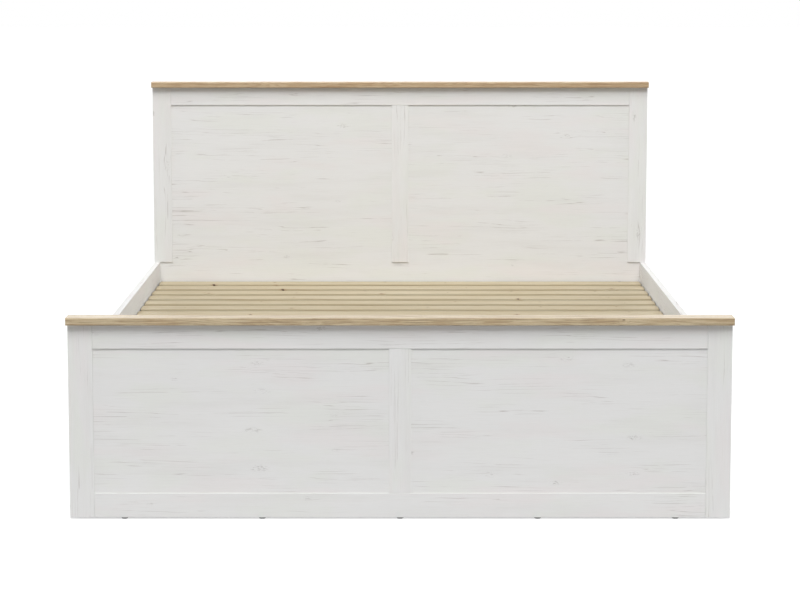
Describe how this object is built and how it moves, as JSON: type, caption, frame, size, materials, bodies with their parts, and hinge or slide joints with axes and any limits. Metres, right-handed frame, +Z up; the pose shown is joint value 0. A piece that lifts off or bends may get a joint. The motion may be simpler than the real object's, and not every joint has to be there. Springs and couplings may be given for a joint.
{
  "type": "storage bed",
  "caption": "Double bed with panelled headboard and footboard under oak caps, box side rails, and a slatted base on a steel frame that lifts over a storage space.",
  "frame": {"origin": "on the floor, under the middle of the bed's overall box", "axes": "+X to the right of a person looking at the footboard from outside, +Y from the footboard to the headboard, +Z up"},
  "size_m": [1.672, 2.111, 0.995],
  "materials": {
    "whitewashed_board": "matt foil with a whitewashed pine grain",
    "oak_board": "matt oak foil with fine streaks",
    "slat_pine": "planed, untreated",
    "pine_batten": "planed, untreated",
    "beech_dowel": "fluted, untreated",
    "floor_board": "white melamine",
    "black_steel": "fine matt powder coat",
    "strut_enamel": "gloss enamel",
    "strut_chrome": "hard chromed, polished",
    "zinc_steel": "bright zinc plated",
    "roller_plastic": "moulded, smooth",
    "glide_plastic": "moulded, satin",
    "buffer_rubber": "matt",
    "webbing": "woven webbing"
  },
  "bodies": {
    "root": {"headboard_panel": "whitewashed_board", "headboard_stile_left": "whitewashed_board", "headboard_stile_right": "whitewashed_board", "headboard_centre_stile": "whitewashed_board", "headboard_top_rail": "whitewashed_board", "headboard_back_rail": "whitewashed_board", "footboard_panel": "whitewashed_board", "footboard_stile_left": "whitewashed_board", "footboard_stile_right": "whitewashed_board", "footboard_centre_stile": "whitewashed_board", "footboard_top_rail": "whitewashed_board", "footboard_bottom_rail": "whitewashed_board", "footboard_back_rail": "whitewashed_board", "side_rail_left": "whitewashed_board", "side_rail_right": "whitewashed_board", "centre_divider": "whitewashed_board", "headboard_cap": "oak_board", "footboard_cap": "oak_board", "cap_dowels": "beech_dowel", "support_battens": "pine_batten", "floor_cleats": "pine_batten", "floor_panels": "floor_board", "glides": "glide_plastic", "divider_buffers": "buffer_rubber", "corner_brackets": "zinc_steel", "frame_bolts": "zinc_steel", "lift_plate_left": "black_steel", "lift_plate_right": "black_steel", "lift_pivot_pins": "zinc_steel"},
    "lift_arms": {"lift_arm_left": "black_steel", "lift_arm_right": "black_steel"},
    "slat_base": {"base_side_tube_left": "black_steel", "base_side_tube_right": "black_steel", "base_centre_tube": "black_steel", "base_cross_tubes": "black_steel", "base_pivot_bolts": "zinc_steel", "slat_screws": "zinc_steel", "pull_strap": "webbing", "slat_01": "slat_pine", "slat_02": "slat_pine", "slat_03": "slat_pine", "slat_04": "slat_pine", "slat_05": "slat_pine", "slat_06": "slat_pine", "slat_07": "slat_pine", "slat_08": "slat_pine", "slat_09": "slat_pine", "slat_10": "slat_pine", "slat_11": "slat_pine", "slat_12": "slat_pine", "slat_13": "slat_pine", "slat_14": "slat_pine", "slat_15": "slat_pine", "slat_16": "slat_pine", "slat_17": "slat_pine", "slat_18": "slat_pine"},
    "roller_left": {"roller_left": "roller_plastic"},
    "roller_right": {"roller_right": "roller_plastic"},
    "strut_cylinders": {"strut_cylinders": "strut_enamel"},
    "strut_rods": {"strut_rods": "strut_chrome"}
  },
  "joints": [
    {"name": "lift_hinge", "type": "hinge", "parent": "root", "child": "lift_arms", "pos_m": [0, 0.41537, 0.16198], "axis": [1, 0, 0], "range_deg": [0, 33]},
    {"name": "base_tilt", "type": "hinge", "parent": "lift_arms", "child": "slat_base", "pos_m": [0, 0.68944, 0.284], "axis": [-1, 0, 0], "range_deg": [0, 66]},
    {"name": "strut_swing", "type": "hinge", "parent": "root", "child": "strut_cylinders", "pos_m": [0, 0.6292, 0.053], "axis": [1, 0, 0], "range_deg": [0, 16.5]},
    {"name": "strut_slide", "type": "slide", "parent": "strut_cylinders", "child": "strut_rods", "axis": [0, 0.0262, 0.9997], "range_m": [0, 0.1165]},
    {"name": "roller_left_spin", "type": "hinge", "parent": "slat_base", "child": "roller_left", "pos_m": [-0.8009, 0.9635, 0.16198], "axis": [1, 0, 0], "continuous": true},
    {"name": "roller_right_spin", "type": "hinge", "parent": "slat_base", "child": "roller_right", "pos_m": [0.8009, 0.9635, 0.16198], "axis": [1, 0, 0], "continuous": true}
  ],
  "couplings": [
    {"joint": "base_tilt", "follows": "lift_hinge", "ratio": 2},
    {"joint": "strut_swing", "follows": "lift_hinge", "ratio": 0.5},
    {"joint": "strut_slide", "follows": "lift_hinge", "m_per_rad": 0.2021}
  ]
}
